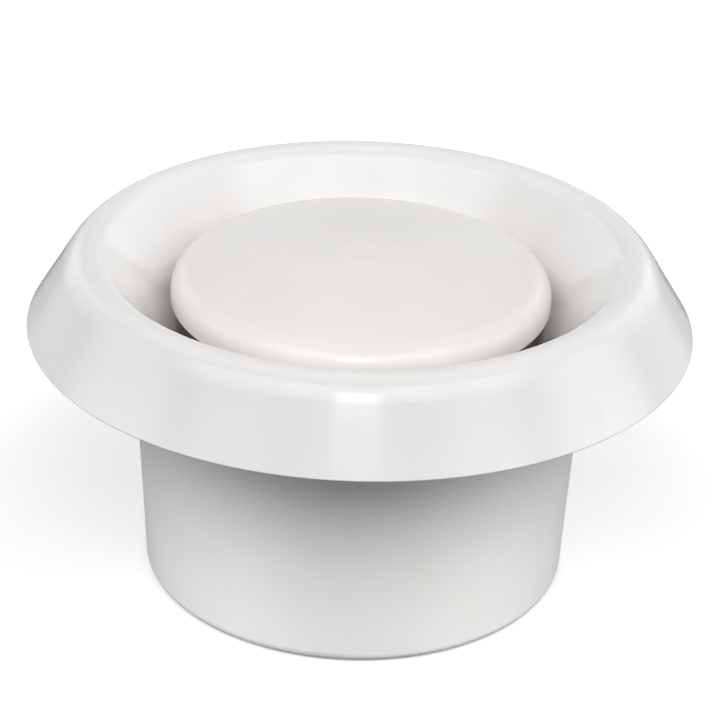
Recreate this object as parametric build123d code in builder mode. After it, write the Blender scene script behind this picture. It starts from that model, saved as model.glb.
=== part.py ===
"""Ceiling disc valve for a 100 mm air duct, in millimetres.

The valve stands on the end of its mounting sleeve, as it does on a bench. The origin is on the
valve's axis, in the plane where the front ring meets the ceiling or wall. +Z points into the room.
The disc screws in and out on a threaded spindle, which sets the air gap between disc and ring.
"""

import os
from math import asin, cos, degrees, radians, sin, sqrt, tan

from build123d import *

# Duct, and the sleeve that goes into it
duct_bore = 100.0
duct_clearance = 0.4
sleeve_wall = 2.2
sleeve_land = 14.0
sleeve_taper = 2.1
sleeve_depth = 59.5
sleeve_end_round = 2.5
sleeve_end_lip = 2.0
lip_thickness = 2.0
mouth_round = 1.2
lip_screws = 3
lip_screw_hole = 4.2

# Front ring: skirt, soft shoulder, round crest, bowl and throat
rim_radius = 73.2
rim_edge_round = 0.25
shoulder_round = 13.5
shoulder_angle = 46.0
crest_radius = 59.4
crest_height = 17.2
crest_round = 5.0
ring_wall = 1.8
bowl_angle = 41.5
throat_radius = 39.2
throat_round = 6.0

# Push-in collar behind the ring, with its snap tongues
collar_gap = 0.35
collar_wall = 1.8
collar_length = 20.5
tongue_angle = 20.0
tongue_slot = 1.6
tongue_length = 13.0
barb_height = 2.6
barb_reach = 0.9
barb_inset = 1.5
groove_gap = 0.4

# Gasket behind the rim, on its shelf
gasket_thickness = 4.0
gasket_width = 5.5
gasket_gap = 0.6
shelf_wall = 1.8
stop_rib_wall = 1.6

# Bridge across the neck
arm_count = 3
arm_start = 90.0
arm_thickness = 3.0
arm_overlap = 2.0
arm_inset = 1.8
hub_wall = 2.4
bridge_edge_round = 0.6

# Disc
disc_radius = 41.7
disc_equator = 7.2
disc_edge_drop = 2.4
disc_edge_round = 5.3
disc_edge_break = 0.8
disc_cap_angle = 12.2
disc_wall = 2.0
disc_rib_planes = 4
disc_rib_wall = 1.6
disc_rib_inset = 1.2
boss_wall = 4.0
boss_foot = 2.0
boss_cover = 2.6
sink_mark_radius = 4.5
sink_mark_depth = 0.14

# Spindle, nuts and washers
thread_diameter = 8.0
thread_pitch = 1.25
turns_in = 4
turns_out = 8
nut_release_turns = 1
nut_across_flats = 13.0
nut_chamfer_angle = 30.0
jam_nut_height = 4.0
hub_nut_height = 6.5
washer_width = 4.0
washer_thickness = 1.6
stop_washer_width = 5.0
stop_washer_thickness = 2.0
wing_nut_wall = 3.5
wing_nut_height = 8.0
wing_length = 9.0
wing_rise = 4.0
wing_top_drop = 2.0
wing_tip_drop = 5.3
wing_thickness = 3.4
wing_round = 2.6
wing_edge_round = 0.8
clip_width = 2.9
clip_thickness = 1.0
clip_opening = 4.4
clip_groove_depth = 0.7
spindle_tail = 2.8
spindle_chamfer = 0.8

# Clearances
seat_gap = 0.02
running_gap = 0.05
loose_gap = 0.2
landing_gap = 0.3

# Radii that follow from the sizes above
thread_radius = thread_diameter / 2
land_radius = duct_bore / 2 - duct_clearance
sleeve_end_radius = land_radius - sleeve_taper
sleeve_bore = land_radius - sleeve_wall
collar_radius = sleeve_bore - collar_gap
collar_bore = collar_radius - collar_wall
boss_radius = thread_radius + boss_wall
nut_corner_radius = nut_across_flats / sqrt(3)
hub_radius = nut_corner_radius + hub_wall
washer_bore = thread_radius + loose_gap
wing_nut_radius = thread_radius + wing_nut_wall
clip_bore = thread_radius - clip_groove_depth + running_gap
clip_radius = clip_bore + clip_width

# Heights along the spindle, from the disc's boss down
travel_in = turns_in * thread_pitch
travel_out = turns_out * thread_pitch
nut_release = nut_release_turns * thread_pitch
jam_nut_foot = boss_foot - jam_nut_height
stop_washer_foot = jam_nut_foot - stop_washer_thickness
hub_top = stop_washer_foot - travel_in - landing_gap
hub_foot = -collar_length
washer_foot = hub_foot - washer_thickness
wing_nut_foot = washer_foot - wing_nut_height
clip_top = wing_nut_foot - nut_release - travel_out - landing_gap
clip_foot = clip_top - clip_thickness
spindle_foot = clip_foot - spindle_tail


def inward(lean):
    """Unit normal of a wall that leans this many degrees from upright: towards the axis, and up."""
    return Vector(-cos(radians(lean)), sin(radians(lean)))


def outward(rise):
    """Unit normal that points away from the axis, this many degrees above level."""
    return Vector(cos(radians(rise)), sin(radians(rise)))


# Centres of the arcs in the ring's section, as radius and height
crest_centre = Vector(crest_radius, crest_height - crest_round)
shoulder_centre = crest_centre + outward(shoulder_angle) * (crest_round - shoulder_round)
bowl_normal = inward(bowl_angle)

# The skirt is the straight line from the rim that just touches the shoulder
rim_to_shoulder = shoulder_centre - Vector(rim_radius, 0)
skirt_turn = degrees(asin(shoulder_round / rim_to_shoulder.length))
skirt_along = rim_to_shoulder.normalized().rotate(Axis.Z, -skirt_turn)
skirt_normal = skirt_along.rotate(Axis.Z, -90)


def skirt_at(height, depth):
    """Point of the skirt at a height, at a depth below its visible face."""
    start = Vector(rim_radius, 0) - skirt_normal * depth
    return start + skirt_along * ((height - start.Y) / skirt_along.Y)


def upright(turn):
    """Plane through the axis, turned about it from the XZ plane."""
    across = Vector(1, 0, 0).rotate(Axis.Z, turn)
    return Plane((0, 0, 0), x_dir=across, z_dir=across.rotate(Axis.Z, -90))


def bowl_at(radius, depth):
    """Point of the bowl's straight wall at a radius, at a depth below its visible face."""
    across = (radius - crest_centre.X) * bowl_normal.X
    return Vector(radius, crest_centre.Y + (crest_round - depth - across) / bowl_normal.Y)


throat_centre = bowl_at(throat_radius + throat_round, throat_round)


def ring_skin(depth, foot):
    """Draw the ring's section from the rim to the neck's foot, at a depth below the visible face."""
    shoulder = shoulder_round - depth
    crest = crest_round - depth
    throat = throat_round - depth
    over_shoulder = (outward(shoulder_angle) + skirt_normal).normalized()
    over_crest = (bowl_normal + outward(shoulder_angle)).normalized()
    skirt_end = shoulder_centre + skirt_normal * shoulder
    shoulder_end = crest_centre + outward(shoulder_angle) * crest
    crest_end = crest_centre + bowl_normal * crest
    bowl_end = throat_centre + bowl_normal * throat
    neck_top = throat_centre + inward(0) * throat
    Line(skirt_at(0, depth), skirt_end)
    ThreePointArc(skirt_end, shoulder_centre + over_shoulder * shoulder, shoulder_end)
    ThreePointArc(shoulder_end, crest_centre + over_crest * crest, crest_end)
    Line(crest_end, bowl_end)
    ThreePointArc(bowl_end, throat_centre + inward(bowl_angle / 2) * throat, neck_top)
    Line(neck_top, (neck_top.X, foot))


# The gasket lies inside the rim, and the sleeve's lip inside the gasket
gasket_outer = skirt_at(gasket_thickness, ring_wall).X - gasket_gap
gasket_inner = gasket_outer - gasket_width
lip_radius = gasket_inner - gasket_gap

# Front ring: one moulding with its collar, gasket shelf, bridge and hub
neck_foot = hub_top - arm_overlap
arm_foot = hub_foot + arm_inset
tongue_start = arm_start + 180 / arm_count
barb_foot = barb_inset - collar_length
barb_top = barb_foot + barb_height
rib_outer = lip_radius - landing_gap
rib_inner = rib_outer - stop_rib_wall
tongue_cut = 2 * (collar_wall + barb_reach)
shelf_top = gasket_thickness + shelf_wall

with BuildPart() as front_ring:
    with BuildSketch(Plane.XZ):
        with BuildLine():
            ring_skin(0, neck_foot)
            ring_skin(ring_wall, neck_foot)
            Line((throat_radius, neck_foot), (throat_radius + ring_wall, neck_foot))
            Line((rim_radius, 0), skirt_at(0, ring_wall))
        make_face()
    revolve(axis=Axis.Z)
    rim_edges = front_ring.edges().filter_by(GeomType.CIRCLE).filter_by_position(Axis.Z, 0, 0)
    fillet(rim_edges.sort_by(SortBy.RADIUS)[-1], rim_edge_round)
    # Collar, and the shelf with its stop rib
    with BuildSketch(Plane.XZ):
        with BuildLine():
            Polyline(
                (collar_bore, -collar_length),
                (collar_radius, -collar_length),
                bowl_at(collar_radius, ring_wall / 2),
                bowl_at(collar_bore, ring_wall / 2),
                close=True,
            )
        make_face()
        with BuildLine():
            Polyline(
                (rib_inner, lip_thickness),
                (rib_outer, lip_thickness),
                (rib_outer, gasket_thickness),
                skirt_at(gasket_thickness, ring_wall / 2),
                skirt_at(shelf_top, ring_wall / 2),
                (rib_inner, shelf_top),
                close=True,
            )
        make_face()
    revolve(axis=Axis.Z)
    # Barbs of the snap tongues, and the slots that free each tongue
    for tongue in range(arm_count):
        tongue_turn = tongue_start + tongue * 360 / arm_count - tongue_angle / 2
        with BuildSketch(upright(tongue_turn)):
            with BuildLine():
                Polyline(
                    (collar_bore + collar_wall / 2, barb_top),
                    (collar_radius + barb_reach, barb_top),
                    (collar_radius, barb_foot),
                    (collar_bore + collar_wall / 2, barb_foot),
                    close=True,
                )
            make_face()
        revolve(axis=Axis.Z, revolution_arc=tongue_angle)
    with BuildSketch(Plane.XY.offset(-collar_length)):
        for side in (-0.5, 0.5):
            slot_start = tongue_start + side * tongue_angle
            with PolarLocations(collar_radius, arm_count, start_angle=slot_start):
                Rectangle(tongue_cut, tongue_slot)
    extrude(amount=tongue_length, mode=Mode.SUBTRACT)
    # Bridge arms and hub, with the hexagonal pocket for the hub nut
    with BuildSketch(Plane.XY.offset(arm_foot)):
        with PolarLocations(0, arm_count, start_angle=arm_start):
            Rectangle(
                collar_bore + collar_wall / 2,
                arm_thickness,
                align=(Align.MIN, Align.CENTER),
            )
    extrude(amount=hub_top - arm_foot)
    straight_edges = front_ring.edges().filter_by(GeomType.LINE)
    arm_edges = straight_edges.filter_by_position(Axis.Z, arm_foot, arm_foot)
    fillet(arm_edges.sort_by(Edge.length)[-2 * arm_count :], bridge_edge_round)
    with BuildSketch(Plane.XY.offset(hub_foot)):
        Circle(hub_radius)
    extrude(amount=hub_top - hub_foot)
    round_edges = front_ring.edges().filter_by(GeomType.CIRCLE)
    hub_edges = round_edges.filter_by_position(Axis.Z, hub_foot, hub_foot)
    fillet(hub_edges.sort_by(SortBy.RADIUS)[0], bridge_edge_round)
    with BuildSketch(Plane.XY.offset(hub_foot)):
        RegularPolygon(nut_across_flats / 2 + running_gap, 6, major_radius=False)
    extrude(amount=hub_nut_height, mode=Mode.SUBTRACT)
    with BuildSketch(Plane.XY.offset(hub_foot)):
        Circle(thread_radius + loose_gap)
    extrude(amount=hub_top - hub_foot, mode=Mode.SUBTRACT)

# Mounting sleeve: lip, duct land, taper and turned-in end
mouth_start = Vector(sleeve_bore, lip_thickness - mouth_round)
mouth_end = Vector(sleeve_bore + mouth_round, lip_thickness)
bore_foot = -collar_length - barb_inset
end_inner = sleeve_end_radius - sleeve_wall
end_foot = -sleeve_depth
groove_radius = collar_radius + barb_reach + groove_gap
lip_middle = (land_radius + lip_radius) / 2

with BuildPart() as mounting_sleeve:
    with BuildSketch(Plane.XZ):
        with BuildLine():
            Polyline(
                mouth_end,
                (lip_radius, lip_thickness),
                (lip_radius, 0),
                (land_radius, 0),
                (land_radius, -sleeve_land),
                (sleeve_end_radius, end_foot + sleeve_end_round),
            )
            RadiusArc(
                (sleeve_end_radius, end_foot + sleeve_end_round),
                (sleeve_end_radius - sleeve_end_round, end_foot),
                sleeve_end_round,
            )
            Polyline(
                (sleeve_end_radius - sleeve_end_round, end_foot),
                (end_inner - sleeve_end_lip, end_foot),
                (end_inner - sleeve_end_lip, end_foot + sleeve_wall),
                (end_inner, end_foot + sleeve_wall),
                (sleeve_bore, bore_foot),
                mouth_start,
            )
            RadiusArc(mouth_start, mouth_end, mouth_round)
        make_face()
    revolve(axis=Axis.Z)
    # Groove that the barbs snap into
    with BuildSketch(Plane.XZ):
        with BuildLine():
            Polyline(
                (collar_bore, barb_foot - groove_gap),
                (groove_radius, barb_foot - groove_gap),
                (groove_radius, barb_top + groove_gap),
                (collar_bore, barb_top + groove_gap),
                close=True,
            )
        make_face()
    revolve(axis=Axis.Z, mode=Mode.SUBTRACT)
    # Screw holes through the lip
    with BuildSketch(Plane.XY):
        with PolarLocations(lip_middle, lip_screws, start_angle=arm_start):
            Circle(lip_screw_hole / 2)
    extrude(amount=lip_thickness, mode=Mode.SUBTRACT)

# Wall gasket: a foam ring on the shelf, flush with the rim
with BuildPart() as wall_gasket:
    with BuildSketch(Plane.XY):
        Circle(gasket_outer)
        Circle(gasket_inner, mode=Mode.SUBTRACT)
    extrude(amount=gasket_thickness)

# Disc: domed front, ribs and boss behind
edge_centre = Vector(disc_radius - disc_edge_round, disc_equator)
cap_lean = Vector(sin(radians(disc_cap_angle)), cos(radians(disc_cap_angle)))
edge_lean = Vector(1, 0).rotate(Axis.Z, 45 - disc_cap_angle / 2)
cap_radius = (edge_centre.X + disc_edge_round * cap_lean.X) / cap_lean.X
cap_centre = edge_centre + cap_lean * (disc_edge_round - cap_radius)
disc_apex = cap_centre.Y + cap_radius
disc_foot = disc_equator - disc_edge_drop


def cap_at(radius, depth):
    """Point of the disc's dome at a radius, at a depth below its visible face."""
    return Vector(radius, cap_centre.Y + sqrt((cap_radius - depth) ** 2 - radius**2))


def disc_skin(depth, foot, end):
    """Draw the disc's section from its foot to the dome at a radius, at a depth below the face."""
    edge = disc_edge_round - depth
    side = Vector(disc_radius - depth, disc_equator)
    edge_end = edge_centre + cap_lean * edge
    Line((side.X, foot), side)
    ThreePointArc(side, edge_centre + edge_lean * edge, edge_end)
    ThreePointArc(edge_end, cap_at((edge_end.X + end) / 2, depth), cap_at(end, depth))


boss_top = disc_apex - disc_wall / 2
spindle_top = disc_apex - sink_mark_depth - boss_cover
rib_foot = disc_foot + disc_rib_inset

with BuildPart() as valve_disc:
    with BuildSketch(Plane.XZ):
        with BuildLine():
            disc_skin(0, disc_foot, sink_mark_radius)
            disc_skin(disc_wall, disc_foot, 0)
            Line((disc_radius, disc_foot), (disc_radius - disc_wall, disc_foot))
            mark_foot = Vector(0, disc_apex - sink_mark_depth)
            TangentArc(mark_foot, cap_at(sink_mark_radius, 0), tangent=(1, 0))
            Line(mark_foot, (0, disc_apex - disc_wall))
        make_face()
    revolve(axis=Axis.Z)
    foot_edges = valve_disc.edges().filter_by(GeomType.CIRCLE).group_by(Axis.Z)[0]
    fillet(foot_edges.sort_by(SortBy.RADIUS)[-1], disc_edge_break)
    for rib in range(disc_rib_planes):
        rib_turn = (rib + 0.5) * 180 / disc_rib_planes
        with BuildSketch(upright(rib_turn)):
            with BuildLine():
                disc_skin(disc_wall / 2, rib_foot, 0)
                Polyline(
                    (0, disc_apex - disc_wall / 2),
                    (0, rib_foot),
                    (disc_radius - disc_wall / 2, rib_foot),
                )
            make_face()
            mirror(about=Plane.YZ)
        extrude(amount=disc_rib_wall / 2, both=True)
    with BuildSketch(Plane.XY.offset(boss_foot)):
        Circle(boss_radius)
    extrude(amount=boss_top - boss_foot)
    with BuildSketch(Plane.XY.offset(boss_foot)):
        Circle(thread_radius + seat_gap)
    extrude(amount=spindle_top + seat_gap - boss_foot, mode=Mode.SUBTRACT)

# Spindle: a threaded rod, drawn plain, with a groove for the clip
with BuildPart() as spindle:
    with BuildSketch(Plane.XY.offset(spindle_foot)):
        Circle(thread_radius)
    extrude(amount=spindle_top - spindle_foot)
    chamfer(spindle.edges().filter_by(GeomType.CIRCLE), spindle_chamfer)
    with BuildSketch(Plane.XY.offset(clip_foot - running_gap)):
        Circle(thread_radius + running_gap)
        Circle(thread_radius - clip_groove_depth, mode=Mode.SUBTRACT)
    extrude(amount=clip_thickness + 2 * running_gap, mode=Mode.SUBTRACT)


def hex_nut(foot, height, bore):
    """A hexagon nut with its corners turned off at both ends."""
    flat = nut_across_flats / 2
    drop = (nut_corner_radius - flat) * tan(radians(nut_chamfer_angle))
    with BuildPart() as nut:
        with BuildSketch(Plane.XY.offset(foot)):
            RegularPolygon(flat, 6, major_radius=False)
            Circle(bore, mode=Mode.SUBTRACT)
        extrude(amount=height)
        with BuildSketch(Plane.XZ):
            with BuildLine():
                Polyline(
                    (0, foot),
                    (flat, foot),
                    (nut_corner_radius, foot + drop),
                    (nut_corner_radius, foot + height - drop),
                    (flat, foot + height),
                    (0, foot + height),
                    close=True,
                )
            make_face()
        revolve(axis=Axis.Z, mode=Mode.INTERSECT)
    return nut.part


jam_nut = hex_nut(jam_nut_foot, jam_nut_height, thread_radius + seat_gap)
hub_nut = hex_nut(hub_foot, hub_nut_height, thread_radius + running_gap)

# Stop washer under the jam nut, and the plain washer under the wing nut
with BuildPart() as stop_washer:
    with BuildSketch(Plane.XY.offset(stop_washer_foot)):
        Circle(washer_bore + stop_washer_width)
        Circle(washer_bore, mode=Mode.SUBTRACT)
    extrude(amount=stop_washer_thickness)

with BuildPart() as lock_washer:
    with BuildSketch(Plane.XY.offset(washer_foot)):
        Circle(washer_bore + washer_width)
        Circle(washer_bore, mode=Mode.SUBTRACT)
    extrude(amount=washer_thickness)

# Wing nut that locks the spindle against the hub
wing_root = clip_radius + 2 * landing_gap
wing_tip = wing_nut_radius + wing_length
wing_middle = (wing_root + wing_tip) / 2
wing_foot = wing_nut_foot - wing_rise

with BuildPart() as lock_nut:
    with BuildSketch(Plane.XY.offset(wing_nut_foot)):
        Circle(wing_nut_radius)
    extrude(amount=wing_nut_height)
    with BuildSketch(Plane.XZ):
        with BuildLine():
            Polyline(
                (wing_root, washer_foot - wing_top_drop),
                (wing_tip, washer_foot - wing_tip_drop),
                (wing_tip, wing_foot),
                (wing_middle, wing_foot),
                (wing_root, wing_nut_foot),
                close=True,
            )
        wing = make_face()
        fillet(wing.vertices().group_by(Axis.X)[-1], wing_round)
        mirror(about=Plane.YZ)
    extrude(amount=wing_thickness / 2, both=True)
    wing_edges = lock_nut.edges().filter_by(lambda edge: abs(edge.center().X) > wing_middle)
    fillet(wing_edges, wing_edge_round)
    with BuildSketch(Plane.XY.offset(wing_nut_foot)):
        Circle(thread_radius + running_gap)
    extrude(amount=wing_nut_height, mode=Mode.SUBTRACT)

# End clip: an open ring in the spindle's groove
with BuildPart() as end_clip:
    with BuildSketch(Plane.XY.offset(clip_foot)):
        Circle(clip_radius)
        Circle(clip_bore, mode=Mode.SUBTRACT)
        Rectangle(
            clip_radius + running_gap,
            clip_opening,
            align=(Align.MIN, Align.CENTER),
            mode=Mode.SUBTRACT,
        )
    extrude(amount=clip_thickness)

# One file for each piece
os.makedirs("parts", exist_ok=True)

front_ring.part.label = "front_ring"
export_step(front_ring.part, "parts/front_ring.step")

mounting_sleeve.part.label = "mounting_sleeve"
export_step(mounting_sleeve.part, "parts/mounting_sleeve.step")

wall_gasket.part.label = "wall_gasket"
export_step(wall_gasket.part, "parts/wall_gasket.step")

valve_disc.part.label = "valve_disc"
export_step(valve_disc.part, "parts/valve_disc.step")

spindle.part.label = "spindle"
export_step(spindle.part, "parts/spindle.step")

jam_nut.label = "jam_nut"
export_step(jam_nut, "parts/jam_nut.step")

hub_nut.label = "hub_nut"
export_step(hub_nut, "parts/hub_nut.step")

stop_washer.part.label = "stop_washer"
export_step(stop_washer.part, "parts/stop_washer.step")

lock_washer.part.label = "lock_washer"
export_step(lock_washer.part, "parts/lock_washer.step")

lock_nut.part.label = "lock_nut"
export_step(lock_nut.part, "parts/lock_nut.step")

end_clip.part.label = "end_clip"
export_step(end_clip.part, "parts/end_clip.step")
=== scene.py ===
"""Looks of the ceiling disc valve: finishes, screw thread, foam ring, studio and camera. In metres."""

import math
import random

import bmesh
import bpy
from mathutils import Matrix, Vector


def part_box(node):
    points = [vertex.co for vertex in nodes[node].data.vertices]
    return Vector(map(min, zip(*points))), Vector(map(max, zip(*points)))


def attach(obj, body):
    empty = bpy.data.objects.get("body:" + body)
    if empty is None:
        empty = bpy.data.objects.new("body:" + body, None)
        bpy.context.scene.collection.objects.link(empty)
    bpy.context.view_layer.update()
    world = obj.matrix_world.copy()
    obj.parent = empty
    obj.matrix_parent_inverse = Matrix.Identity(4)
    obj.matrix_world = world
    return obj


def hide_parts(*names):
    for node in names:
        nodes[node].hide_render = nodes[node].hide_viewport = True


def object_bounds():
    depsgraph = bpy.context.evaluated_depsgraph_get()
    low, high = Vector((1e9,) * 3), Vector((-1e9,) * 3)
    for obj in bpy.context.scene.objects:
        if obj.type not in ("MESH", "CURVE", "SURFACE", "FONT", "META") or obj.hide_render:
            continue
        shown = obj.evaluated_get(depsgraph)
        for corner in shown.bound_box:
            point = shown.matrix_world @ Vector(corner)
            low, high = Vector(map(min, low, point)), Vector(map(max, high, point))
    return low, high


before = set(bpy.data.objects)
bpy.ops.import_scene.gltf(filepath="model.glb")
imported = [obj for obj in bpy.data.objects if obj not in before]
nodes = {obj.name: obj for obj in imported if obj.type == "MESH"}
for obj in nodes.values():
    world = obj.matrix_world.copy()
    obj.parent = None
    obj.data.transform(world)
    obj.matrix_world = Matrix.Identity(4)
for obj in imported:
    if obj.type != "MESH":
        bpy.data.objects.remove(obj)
cad_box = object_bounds()

MM = 0.001
random.seed(4679)

# The camera, from the outline in the photo
PHOTO_SIZE = 720
FOCAL_PIXELS = 2593.0
SENSOR_WIDTH = 36.0
CAMERA_DISTANCE = 0.5717
CAMERA_SIDE = 0.24 * MM
CAMERA_ELEVATION = math.radians(26.17)
CAMERA_ROLL = math.radians(1.76)
CAMERA_DIP = math.radians(0.935)
CAMERA_NEAR = 0.01

# The spindle's screw thread
THREAD_PITCH = 1.25 * MM
THREAD_DEPTH = 0.6134 * THREAD_PITCH
THREAD_CREST = 0.125
THREAD_ROOT = 0.25
STEPS_A_TURN = 40
STEPS_A_PITCH = 16
SPINDLE_CHAMFER = 0.8 * MM
CLIP_GROOVE_DEPTH = 0.7 * MM
CLIP_GROOVE_PLAY = 0.05 * MM

# The foam ring's rounded edges, its uneven outline and its gap to the sleeve's lip
FOAM_EDGE = 0.5 * MM
FOAM_CORNER_STEPS = 3
FOAM_ROUGHNESS = 0.12 * MM
FOAM_STEPS = 360
FOAM_GAP = 0.6 * MM

# Colours, as linear light
RING_WHITE = (0.825, 0.788, 0.746, 1.0)
RING_SHADE = (0.805, 0.768, 0.72, 1.0)
DISC_WHITE = (0.82, 0.773, 0.716, 1.0)
DISC_SHADE = (0.80, 0.753, 0.695, 1.0)
SLEEVE_WHITE = (0.855, 0.825, 0.775, 1.0)
SLEEVE_SHADE = (0.83, 0.80, 0.745, 1.0)
NUT_WHITE = (0.72, 0.72, 0.70, 1.0)
NUT_SHADE = (0.67, 0.67, 0.65, 1.0)
FOAM_GREY = (0.055, 0.055, 0.058, 1.0)
FOAM_PORE = (0.02, 0.02, 0.021, 1.0)
RUBBER_BLACK = (0.018, 0.018, 0.019, 1.0)
RUBBER_BLOOM = (0.035, 0.034, 0.033, 1.0)
ZINC_LIGHT = (0.62, 0.64, 0.66, 1.0)
ZINC_DARK = (0.47, 0.48, 0.48, 1.0)
BLACKENED = (0.09, 0.09, 0.095, 1.0)
BLACKENED_WORN = (0.19, 0.185, 0.18, 1.0)
SPECK_BROWN = (0.12, 0.10, 0.08, 1.0)
FLOOR_WARM = (0.98, 0.945, 0.91, 1.0)
FLOOR_TOOTH = (0.8, 0.77, 0.74, 1.0)
FLOOR_EMISSION = (1.0, 1.0, 1.0, 1.0)
LIGHT_COOL = (0.967, 0.997, 1.045)

# Roughness of the polished finishes, and the span that most values of a noise lie in
RING_POLISH = 0.08
DISC_POLISH = 0.20
POLISH_SPREAD = 0.05
ZINC_POLISH = (0.29, 0.4)
BLACKENED_POLISH = (0.3, 0.5)
NOISE_SPAN = (0.3, 0.7)

# The floor: half its width, and how strongly it is lit from behind
FLOOR_REACH = 6.0
FLOOR_GLOW = 0.2

# Softboxes in front of the valve, as name, elevation, height and power
SOFTBOX_DISTANCE = 1.2
SOFTBOX_WIDTH = 0.295
SOFTBOXES = [("key", 43, 0.36, 1.55), ("strip", 32, 0.17, 0.1)]

# Beams on the lower part of the sleeve, as azimuth and power
BEAM_LAMP = 0.03
BEAM_CONE = 6
BEAM_DISTANCE = 1.0
BEAM_ELEVATION = 12
BEAM_TARGET_RADIUS = 0.047
BEAM_TARGET_HEIGHT = -0.055
BEAMS = [(-38, 18.2), (38, 15.8), (142, 9.0), (-142, 9.0)]

# Even light from below the horizon, and broad glows as azimuth, elevation and strength
LIGHT_BELOW = 0.07
HORIZON_BLUR = 0.06
GLOW_REACH = math.radians(28)
GLOWS = [
    (0, 48, 2.32),
    (50, 48, 2.54),
    (-50, 48, 2.36),
    (130, 48, 0.38),
    (-130, 48, 0.38),
    (180, 48, 0.37),
    (180, 75, 0.45),
    (45, 14, 0.58),
    (90, 14, 2.45),
    (135, 14, 1.25),
    (180, 14, 0.40),
    (-135, 14, 1.15),
    (-90, 14, 1.90),
    (158, 0, 0.55),
    (-158, 0, 0.55),
]

# Faint marks in the plastic, as place, radius and strength, and how far their soft edge reaches
MARK_EDGE = 1.4
DISC_MARKS = [((0.00767, 0.00611, 0.01611), 0.36 * MM, 0.09)]
RING_MARKS = [
    ((0.05134, -0.00562, 0.01103), 0.17 * MM, 0.35),
    ((0.05143, -0.00803, 0.01145), 0.15 * MM, 0.35),
    ((0.04940, -0.00492, 0.00875), 0.30 * MM, 0.06),
    ((0.04799, -0.05106, 0.00499), 2.10 * MM, 0.03),
]


class Finish:
    """A material with one shader, and short calls for the nodes that feed it."""

    def __init__(self, name, **constants):
        self.material = bpy.data.materials.new(name)
        self.material.use_nodes = True
        self.tree = self.material.node_tree
        self.shader = self.tree.nodes["Principled BSDF"]
        for socket, value in constants.items():
            self.shader.inputs[socket.replace("_", " ")].default_value = value
        self.place = self.node("ShaderNodeTexCoord").outputs["Object"]

    def node(self, kind, **inputs):
        """A new node, with its inputs set to values or joined to other nodes' outputs."""
        made = self.tree.nodes.new(kind)
        for key, value in inputs.items():
            self.feed(made.inputs[key.replace("_", " ")], value)
        return made

    def feed(self, socket, value):
        """Set a socket to a value, or join it to another node's output."""
        if isinstance(value, bpy.types.NodeSocket):
            self.tree.links.new(value, socket)
        else:
            socket.default_value = value

    def noise(self, scale, detail=3.0, stretch=(1.0, 1.0, 1.0)):
        """Soft random pattern over the surface: scale is features to the metre."""
        mapped = self.node("ShaderNodeMapping", Vector=self.place, Scale=stretch)
        made = self.node("ShaderNodeTexNoise", Vector=mapped.outputs[0], Scale=scale, Detail=detail)
        return made.outputs["Fac"]

    def ramp(self, value, low, high, to_low=0.0, to_high=1.0):
        """A value stretched from one range to another, and held at its ends."""
        made = self.node("ShaderNodeMapRange")
        for index, item in enumerate((value, low, high, to_low, to_high)):
            self.feed(made.inputs[index], item)
        return made.outputs[0]

    def mix(self, factor, first, second):
        """A colour between two colours."""
        made = self.tree.nodes.new("ShaderNodeMix")
        made.data_type = "RGBA"
        for name, value in (("Factor_Float", factor), ("A_Color", first), ("B_Color", second)):
            socket = next(item for item in made.inputs if item.identifier == name)
            self.feed(socket, value)
        return next(item for item in made.outputs if item.identifier == "Result_Color")

    def bump(self, height, strength, distance, below=None):
        """Surface relief from a height pattern, on top of another relief if there is one."""
        made = self.node("ShaderNodeBump", Strength=strength, Distance=distance, Height=height)
        if below is not None:
            self.feed(made.inputs["Normal"], below)
        return made.outputs["Normal"]

    def spot(self, centre, radius, strength):
        """A strength inside a small ball round a point, falling to 0 over a soft edge."""
        away = self.node("ShaderNodeVectorMath")
        away.operation = "DISTANCE"
        self.feed(away.inputs[0], self.place)
        away.inputs[1].default_value = centre
        return self.ramp(away.outputs["Value"], radius, MARK_EDGE * radius, strength, 0.0)

    def paint(self, **sockets):
        """Join patterns to the shader's sockets."""
        for socket, value in sockets.items():
            self.feed(self.shader.inputs[socket.replace("_", " ")], value)


def moulded_gloss(name, white, shade, polish, marks):
    """Glossy injection-moulded plastic: faint flow mottling, polish marks and a few specks."""
    finish = Finish(name, IOR=1.49, Specular_IOR_Level=0.5)
    flow = finish.noise(45.0, detail=2.0)
    colour = finish.mix(finish.ramp(flow, 0.35, 0.65), white, shade)
    for centre, radius, strength in marks:
        colour = finish.mix(finish.spot(centre, radius, strength), colour, SPECK_BROWN)
    wear = finish.noise(260.0, detail=4.0)
    roughness = finish.ramp(wear, *NOISE_SPAN, polish, polish + POLISH_SPREAD)
    waves = finish.bump(finish.noise(120.0, detail=1.0), 0.06, 0.1 * MM)
    grain = finish.bump(finish.noise(2600.0, detail=2.0), 0.05, 0.01 * MM, waves)
    finish.paint(Base_Color=colour, Roughness=roughness, Normal=grain)
    return finish.material


def moulded_satin(name, white, shade):
    """Satin moulded plastic: spark-eroded grain and faint draw marks along the axis."""
    finish = Finish(name, IOR=1.47, Specular_IOR_Level=0.4)
    flow = finish.noise(60.0, detail=3.0)
    colour = finish.mix(finish.ramp(flow, *NOISE_SPAN), white, shade)
    drawn = finish.noise(420.0, detail=3.0, stretch=(1.0, 1.0, 0.03))
    roughness = finish.ramp(drawn, *NOISE_SPAN, 0.46, 0.58)
    marks = finish.bump(drawn, 0.06, 0.05 * MM)
    grain = finish.bump(finish.noise(3200.0, detail=2.0), 0.18, 0.02 * MM, marks)
    finish.paint(Base_Color=colour, Roughness=roughness, Normal=grain)
    return finish.material


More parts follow.
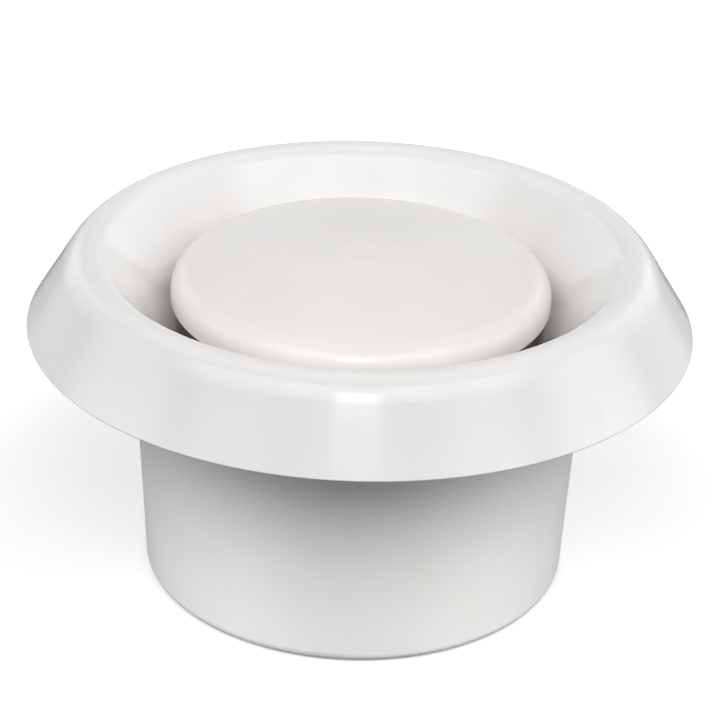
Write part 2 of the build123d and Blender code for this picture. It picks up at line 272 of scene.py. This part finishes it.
def closed_cell_foam():
    """Dark foam: small closed cells with darker pits."""
    finish = Finish("foam", IOR=1.4, Specular_IOR_Level=0.25)
    cells = finish.node("ShaderNodeTexVoronoi", Vector=finish.place, Scale=1400.0)
    pits = finish.ramp(cells.outputs["Distance"], 0.1, 0.55)
    colour = finish.mix(pits, FOAM_PORE, FOAM_GREY)
    roughness = finish.ramp(finish.noise(300.0), *NOISE_SPAN, 0.78, 0.95)
    relief = finish.bump(pits, 0.5, 0.25 * MM)
    finish.paint(Base_Color=colour, Roughness=roughness, Normal=relief)
    return finish.material


def dull_rubber():
    """Black rubber with a faint grey bloom."""
    finish = Finish("black_rubber", IOR=1.5, Specular_IOR_Level=0.35)
    bloom = finish.noise(500.0, detail=4.0)
    colour = finish.mix(finish.ramp(bloom, 0.4, 0.75), RUBBER_BLACK, RUBBER_BLOOM)
    roughness = finish.ramp(bloom, *NOISE_SPAN, 0.6, 0.78)
    relief = finish.bump(finish.noise(2500.0, detail=3.0), 0.2, 0.03 * MM)
    finish.paint(Base_Color=colour, Roughness=roughness, Normal=relief)
    return finish.material


def plated_steel(name, light, dark, polish):
    """Plated or blackened steel: mottled coating with fine turning marks round the axis."""
    finish = Finish(name, Metallic=1.0)
    mottle = finish.noise(700.0, detail=5.0)
    colour = finish.mix(finish.ramp(mottle, 0.35, 0.68), light, dark)
    roughness = finish.ramp(finish.noise(1500.0, detail=3.0), *NOISE_SPAN, *polish)
    turned = finish.noise(900.0, detail=2.0, stretch=(0.1, 0.1, 6.0))
    relief = finish.bump(turned, 0.12, 0.02 * MM)
    finish.paint(Base_Color=colour, Roughness=roughness, Normal=relief)
    return finish.material


def floor_paper():
    """Plain pale floor, lit a little from behind, with a hardly visible tooth."""
    finish = Finish(
        "floor_paper",
        Roughness=0.9,
        Specular_IOR_Level=0.1,
        Emission_Color=FLOOR_EMISSION,
        Emission_Strength=FLOOR_GLOW,
    )
    tooth = finish.noise(400.0, detail=2.0)
    colour = finish.mix(finish.ramp(tooth, 0.0, 1.0, 0.0, 0.03), FLOOR_WARM, FLOOR_TOOTH)
    finish.paint(Base_Color=colour)
    return finish.material


def dress(node, material):
    """Give a CAD node a finish."""
    mesh = nodes[node].data
    mesh.materials.clear()
    mesh.materials.append(material)


def add_piece(name, mesh, material, body, replaced):
    """A new piece that stands for a CAD node and moves with its body."""
    piece = bpy.data.objects.new(name, mesh)
    bpy.context.scene.collection.objects.link(piece)
    mesh.materials.append(material)
    for face in mesh.polygons:
        face.use_smooth = True
    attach(piece, body)
    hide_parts(replaced)


def lathe_grid(name, rows, closed_ends):
    """A mesh of rings of points, joined row to row, with the first and last rings capped or joined."""
    mesh = bpy.data.meshes.new(name)
    build = bmesh.new()
    steps = len(rows[0])
    rings = [[build.verts.new(point) for point in row] for row in rows]
    pairs = list(zip(rings, rings[1:]))
    if not closed_ends:
        pairs.append((rings[-1], rings[0]))
    for low, high in pairs:
        for step in range(steps):
            following = (step + 1) % steps
            build.faces.new((low[step], low[following], high[following], high[step]))
    if closed_ends:
        build.faces.new(list(reversed(rings[0])))
        build.faces.new(rings[-1])
    bmesh.ops.recalc_face_normals(build, faces=build.faces)
    build.to_mesh(mesh)
    build.free()
    return mesh


def thread_cut(phase):
    """Depth of the thread's groove, from 0 at the crest to 1 at the root, along one pitch."""
    flank = (1.0 - THREAD_CREST - THREAD_ROOT) / 2
    from_root = abs(phase - 0.5) - THREAD_ROOT / 2
    return 1.0 - min(max(from_root / flank, 0.0), 1.0)


def threaded_spindle(material):
    """The spindle with its screw thread cut, its ends chamfered and the clip's groove turned."""
    low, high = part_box("spindle")
    radius = (high.x - low.x) / 2
    clip_low, clip_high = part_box("end_clip")
    groove = (clip_low.z - CLIP_GROOVE_PLAY, clip_high.z + CLIP_GROOVE_PLAY)
    count = round((high.z - low.z) / THREAD_PITCH * STEPS_A_PITCH)
    rows = []
    for row in range(count + 1):
        z = low.z + (high.z - low.z) * row / count
        from_end = min(z - low.z, high.z - z)
        limit = radius - max(SPINDLE_CHAMFER - from_end, 0.0)
        if groove[0] <= z <= groove[1]:
            limit = radius - CLIP_GROOVE_DEPTH
        ring = []
        for step in range(STEPS_A_TURN):
            turn = step / STEPS_A_TURN
            phase = (z / THREAD_PITCH - turn) % 1.0
            reach = min(radius - THREAD_DEPTH * thread_cut(phase), limit)
            ring.append((reach * math.cos(math.tau * turn), reach * math.sin(math.tau * turn), z))
        rows.append(ring)
    mesh = lathe_grid("threaded_spindle", rows, True)
    add_piece("threaded_spindle", mesh, material, "disc", "spindle")


def foam_ring(material):
    """The gasket with soft cut edges and a slightly uneven outline."""
    low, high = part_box("wall_gasket")
    outer = (high.x - low.x) / 2
    lip_low, lip_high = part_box("mounting_sleeve")
    inner = (lip_high.x - lip_low.x) / 2 + FOAM_GAP
    section = []
    corners = (
        (outer - FOAM_EDGE, low.z + FOAM_EDGE, -90),
        (outer - FOAM_EDGE, high.z - FOAM_EDGE, 0),
        (inner + FOAM_EDGE, high.z - FOAM_EDGE, 90),
        (inner + FOAM_EDGE, low.z + FOAM_EDGE, 180),
    )
    for r, z, start in corners:
        for part in range(FOAM_CORNER_STEPS + 1):
            angle = math.radians(start + 90 * part / FOAM_CORNER_STEPS)
            section.append((r + FOAM_EDGE * math.cos(angle), z + FOAM_EDGE * math.sin(angle)))
    rows = []
    for r, z in section:
        ring = []
        for step in range(FOAM_STEPS):
            turn = math.tau * step / FOAM_STEPS
            reach = r - FOAM_ROUGHNESS * random.random()
            ring.append((reach * math.cos(turn), reach * math.sin(turn), z))
        rows.append(ring)
    mesh = lathe_grid("foam_ring", rows, False)
    add_piece("foam_ring", mesh, material, "housing", "wall_gasket")


def add_floor(material):
    """A wide pale floor under the sleeve's end, which neither lights the valve nor shows in its gloss."""
    mesh = bpy.data.meshes.new("floor")
    base = cad_box[0].z
    square = ((-1, -1), (1, -1), (1, 1), (-1, 1))
    corners = [(x * FLOOR_REACH, y * FLOOR_REACH, base) for x, y in square]
    mesh.from_pydata(corners, [], [(0, 1, 2, 3)])
    mesh.materials.append(material)
    floor = bpy.data.objects.new("floor", mesh)
    bpy.context.scene.collection.objects.link(floor)
    floor.visible_diffuse = False
    floor.visible_glossy = False


def towards(azimuth, elevation):
    """Unit vector from the valve: azimuth 0 points to the camera's side, 90 to its right."""
    side, rise = math.radians(azimuth), math.radians(elevation)
    level = math.cos(rise)
    return Vector((math.sin(side) * level, -math.cos(side) * level, math.sin(rise)))


def place_light(data, target, away, distance, power):
    """Put a light at a distance from its target, aimed at it."""
    data.color = LIGHT_COOL
    data.energy = power
    light = bpy.data.objects.new(data.name, data)
    light.location = target + away * distance
    light.rotation_euler = away.to_track_quat("Z", "Y").to_euler()
    bpy.context.scene.collection.objects.link(light)


def add_softbox(name, elevation, height, power):
    """A rectangular light in front of the valve, aimed at its origin."""
    data = bpy.data.lights.new(name, "AREA")
    data.shape = "RECTANGLE"
    data.size = SOFTBOX_WIDTH
    data.size_y = height
    place_light(data, Vector(), towards(0, elevation), SOFTBOX_DISTANCE, power)


def add_beam(azimuth, power):
    """A narrow soft beam aimed at the lower part of the sleeve."""
    data = bpy.data.lights.new(f"sleeve_{azimuth}", "SPOT")
    data.spot_size = math.radians(BEAM_CONE)
    data.spot_blend = 1.0
    data.shadow_soft_size = BEAM_LAMP
    target = towards(azimuth, 0) * BEAM_TARGET_RADIUS + Vector((0.0, 0.0, BEAM_TARGET_HEIGHT))
    place_light(data, target, towards(azimuth, BEAM_ELEVATION), BEAM_DISTANCE, power)


def add_world():
    """Even light from below the horizon, with broad soft glows where the screens stand."""
    world = bpy.data.worlds.new("studio")
    world.use_nodes = True
    tree = world.node_tree
    direction = tree.nodes.new("ShaderNodeTexCoord").outputs["Generated"]

    def fall(value, low, high, at_low, at_high):
        """A value that goes smoothly from one brightness to another."""
        made = tree.nodes.new("ShaderNodeMapRange")
        made.interpolation_type = "SMOOTHSTEP"
        tree.links.new(value, made.inputs[0])
        for index, number in enumerate((low, high, at_low, at_high), 1):
            made.inputs[index].default_value = number
        return made.outputs[0]

    split = tree.nodes.new("ShaderNodeSeparateXYZ")
    tree.links.new(direction, split.inputs[0])
    total = fall(split.outputs["Z"], -HORIZON_BLUR, HORIZON_BLUR, LIGHT_BELOW, 0.0)
    for azimuth, elevation, strength in GLOWS:
        facing = tree.nodes.new("ShaderNodeVectorMath")
        facing.operation = "DOT_PRODUCT"
        tree.links.new(direction, facing.inputs[0])
        facing.inputs[1].default_value = towards(azimuth, elevation)
        glow = fall(facing.outputs["Value"], math.cos(GLOW_REACH), 1.0, 0.0, strength)
        add = tree.nodes.new("ShaderNodeMath")
        tree.links.new(total, add.inputs[0])
        tree.links.new(glow, add.inputs[1])
        total = add.outputs[0]
    tree.links.new(total, tree.nodes["Background"].inputs["Strength"])
    tree.nodes["Background"].inputs["Color"].default_value = (*LIGHT_COOL, 1.0)
    bpy.context.scene.world = world


def add_camera():
    """The photo's view: from the front and a little above, with a slight roll."""
    back = Vector((0.0, -math.cos(CAMERA_ELEVATION), math.sin(CAMERA_ELEVATION)))
    place = back * CAMERA_DISTANCE + Vector((CAMERA_SIDE, 0.0, 0.0))
    aim = Matrix.Rotation(-CAMERA_DIP, 3, "X") @ -back
    level_up = Vector((1.0, 0.0, 0.0)).cross(aim)
    right = math.cos(CAMERA_ROLL) * Vector((1.0, 0.0, 0.0)) + math.sin(CAMERA_ROLL) * level_up
    up = right.cross(aim)
    data = bpy.data.cameras.new("camera")
    data.sensor_width = SENSOR_WIDTH
    data.lens = FOCAL_PIXELS * SENSOR_WIDTH / PHOTO_SIZE
    data.clip_start = CAMERA_NEAR
    camera = bpy.data.objects.new("camera", data)
    turned = Matrix((right, up, -aim)).transposed()
    camera.matrix_world = Matrix.Translation(place) @ turned.to_4x4()
    bpy.context.scene.collection.objects.link(camera)
    bpy.context.scene.camera = camera


zinc = plated_steel("zinc", ZINC_LIGHT, ZINC_DARK, ZINC_POLISH)
dress("front_ring", moulded_gloss("ring_gloss", RING_WHITE, RING_SHADE, RING_POLISH, RING_MARKS))
dress("valve_disc", moulded_gloss("disc_gloss", DISC_WHITE, DISC_SHADE, DISC_POLISH, DISC_MARKS))
dress("mounting_sleeve", moulded_satin("sleeve_satin", SLEEVE_WHITE, SLEEVE_SHADE))
dress("lock_nut", moulded_satin("nut_satin", NUT_WHITE, NUT_SHADE))
dress("stop_washer", dull_rubber())
dress("end_clip", plated_steel("blackened_steel", BLACKENED, BLACKENED_WORN, BLACKENED_POLISH))
for node in ("jam_nut", "hub_nut", "lock_washer"):
    dress(node, zinc)
threaded_spindle(zinc)
foam_ring(closed_cell_foam())

add_floor(floor_paper())
add_world()
for name, elevation, height, power in SOFTBOXES:
    add_softbox(name, elevation, height, power)
for azimuth, power in BEAMS:
    add_beam(azimuth, power)
add_camera()

view = bpy.context.scene.view_settings
view.view_transform = "Standard"
view.look = "None"
